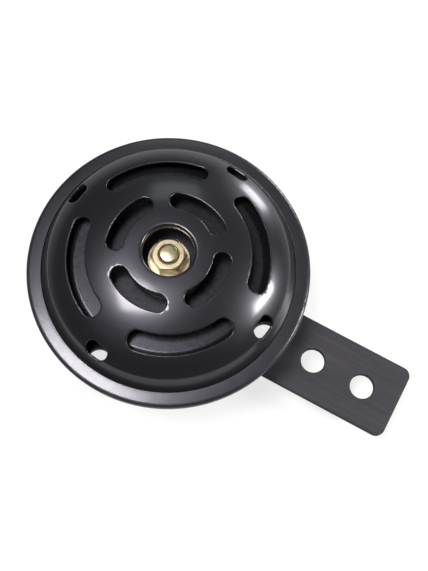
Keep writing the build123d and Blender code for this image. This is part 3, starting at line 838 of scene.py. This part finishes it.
screw_turn = radians(SCREW_ANGLE)
screw_middle = Vector((HORN_X + SCREW_CIRCLE * cos(screw_turn), SCREW_CIRCLE * sin(screw_turn)))
add_piece("adjusting_screw_thread", thread(screw_middle, *SCREW_THREAD), "adjusting_screw")
slotted_end = cut_off(from_node("adjusting_screw"), SCREW_THREAD[2], keep_above=False)
add_piece("adjusting_screw_tip", slotted_end, "adjusting_screw")
clamped_end = cut_off(from_node("adjusting_screw"), SCREW_THREAD[3], keep_above=True)
add_piece("adjusting_screw_shank", clamped_end, "adjusting_screw")

# The diaphragm's cone bends between the clamped edge and the moving stack; here it is a merged copy
# of its node, fixed in place.
sheet_mesh = to_mesh("diaphragm_sheet", from_node("diaphragm"))
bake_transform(place_piece("diaphragm_sheet", sheet_mesh, "diaphragm"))


# ---------------------------------------------------------------- floor, backdrop light and lamps
work = bmesh.new()
bmesh.ops.create_grid(work, x_segments=1, y_segments=1, size=FLOOR_SIZE)
bmesh.ops.translate(work, vec=(HORN_X * MM, 0, CAD_BOX[0][2] - FLOOR_GAP), verts=work.verts)
floor_mesh = bpy.data.meshes.new("floor")
work.to_mesh(floor_mesh)
work.free()
floor = bpy.data.objects.new("floor", floor_mesh)
bpy.context.scene.collection.objects.link(floor)

# The floor looks white to the eye, and shows the shadow of the horn faintly.
floor_white = Finish("floor_white", (0.30, 0.30, 0.30), 0.9)
floor_mesh.materials.append(floor_white.material)
path = floor_white.node("LightPath")
share = path.outputs["Is Camera Ray"]
for ray, part in (("Is Transmission Ray", 1.0), ("Is Glossy Ray", FLOOR_GLOSS_SHARE)):
    more = floor_white.node("Math", operation="MULTIPLY_ADD")
    more.inputs[1].default_value = part
    floor_white.link(path.outputs[ray], more.inputs[0])
    floor_white.link(share, more.inputs[2])
    share = more.outputs[0]
weight = floor_white.node("Math", operation="MULTIPLY")
weight.inputs[1].default_value = FLOOR_GLOW
glow = floor_white.node("Emission")
floor_look = floor_white.node("AddShader")
floor_white.link(share, weight.inputs[0])
floor_white.link(weight.outputs[0], glow.inputs["Strength"])
floor_white.link(floor_white.shader.outputs["BSDF"], floor_look.inputs[0])
floor_white.link(glow.outputs["Emission"], floor_look.inputs[1])
output = floor_white.tree.nodes["Material Output"]
floor_white.link(floor_look.outputs["Shader"], output.inputs["Surface"])

# The studio is dark above and pale from just over the horizon down, with a white backdrop.
world = bpy.data.worlds.new("studio")
bpy.context.scene.world = world
world.use_nodes = True
sky = world.node_tree
direction = sky.nodes.new("ShaderNodeTexCoord")
split = sky.nodes.new("ShaderNodeSeparateXYZ")
rise = sky.nodes.new("ShaderNodeMapRange")
rise.inputs["From Min"].default_value = sin(radians(5.0))
rise.inputs["From Max"].default_value = sin(radians(8.0))
shade = sky.nodes.new("ShaderNodeMix")
shade.data_type = "RGBA"
shade.inputs["A"].default_value = (0.36, 0.36, 0.38, 1.0)
shade.inputs["B"].default_value = (0.056, 0.058, 0.067, 1.0)
backdrop = sky.nodes.new("ShaderNodeMix")
backdrop.data_type = "RGBA"
backdrop.inputs["B"].default_value = (1.0, 1.0, 1.0, 1.0)
sky.links.new(direction.outputs["Generated"], split.inputs["Vector"])
sky.links.new(split.outputs["Z"], rise.inputs["Value"])
sky.links.new(rise.outputs["Result"], shade.inputs["Factor"])
camera_ray = sky.nodes.new("ShaderNodeLightPath").outputs["Is Camera Ray"]
sky.links.new(camera_ray, backdrop.inputs["Factor"])
sky.links.new(shade.outputs["Result"], backdrop.inputs["A"])
sky.links.new(backdrop.outputs["Result"], sky.nodes["Background"].inputs["Color"])

horn_middle = Vector((HORN_X, 0, LAMP_TARGET_HEIGHT)) * MM


def lamp(name, azimuth, elevation, width, height, watts, colour, roll=0.0):
    """Soft rectangular lamp 1 m away that faces the horn from that direction."""
    data = bpy.data.lights.new(name, "AREA")
    data.shape = "RECTANGLE"
    data.size = width
    data.size_y = height
    data.energy = watts
    data.color = colour
    made = bpy.data.objects.new(name, data)
    bpy.context.scene.collection.objects.link(made)
    a, e = radians(azimuth), radians(elevation)
    away = Vector((cos(a) * cos(e), sin(a) * cos(e), sin(e)))
    made.location = horn_middle + away
    turn = away.to_track_quat("Z", "Y") @ Quaternion((0, 0, 1), radians(roll))
    made.rotation_euler = turn.to_euler()


lamp("overhead", 212, 75, 0.32, 0.32, 9.0, (1.0, 0.97, 1.0))
lamp("side", 24, 33.5, 0.36, 0.135, 7.0, (1.0, 0.99, 0.98), roll=-45)
lamp("window", 80, 9.5, 0.24, 0.24, 3.4, (0.96, 0.98, 1.0))
lamp("back", 116, 42, 0.34, 0.26, 0.5, (0.86, 1.0, 0.94))
